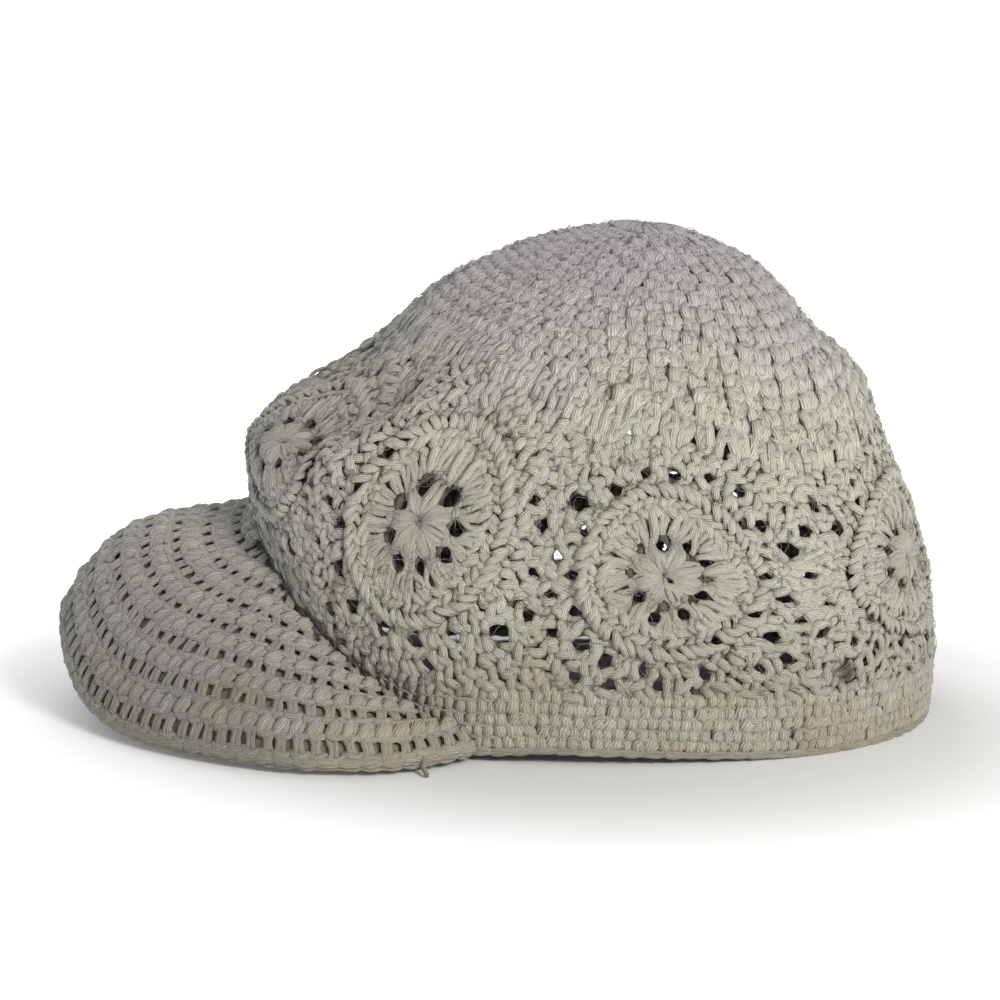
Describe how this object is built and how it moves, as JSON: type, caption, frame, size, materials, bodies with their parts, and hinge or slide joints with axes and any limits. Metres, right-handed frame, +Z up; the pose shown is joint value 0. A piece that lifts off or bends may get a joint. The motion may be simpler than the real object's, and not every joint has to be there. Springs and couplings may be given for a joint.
{
  "type": "crochet baseball cap",
  "caption": "Crocheted cotton cap with a close dome crown, a band of openwork wheels, a plain headband and an arched, stiffened peak; it stands on its rim and the peak's sides.",
  "frame": {"origin": "on the ground under the middle of the cap's box", "axes": "+Z up, -Y towards the peak, +X towards the wearer's left"},
  "size_m": [0.1846, 0.2539, 0.14],
  "materials": {
    "crown": "soft undyed cotton yarn, matt",
    "wheels": "soft undyed cotton yarn, matt",
    "headband": "soft undyed cotton yarn, matt",
    "peak": "soft undyed cotton yarn, matt",
    "insert": "plain grey-green stiffener sheet"
  },
  "bodies": {
    "root": {"crown": "crown", "headband": "headband", "wheel_front_left": "wheels", "wheel_left_front": "wheels", "wheel_left_back": "wheels", "wheel_back_left": "wheels", "wheel_back_right": "wheels", "wheel_right_back": "wheels", "wheel_right_front": "wheels", "wheel_front_right": "wheels", "peak": "peak", "peak_insert": "insert"}
  },
  "joints": []
}
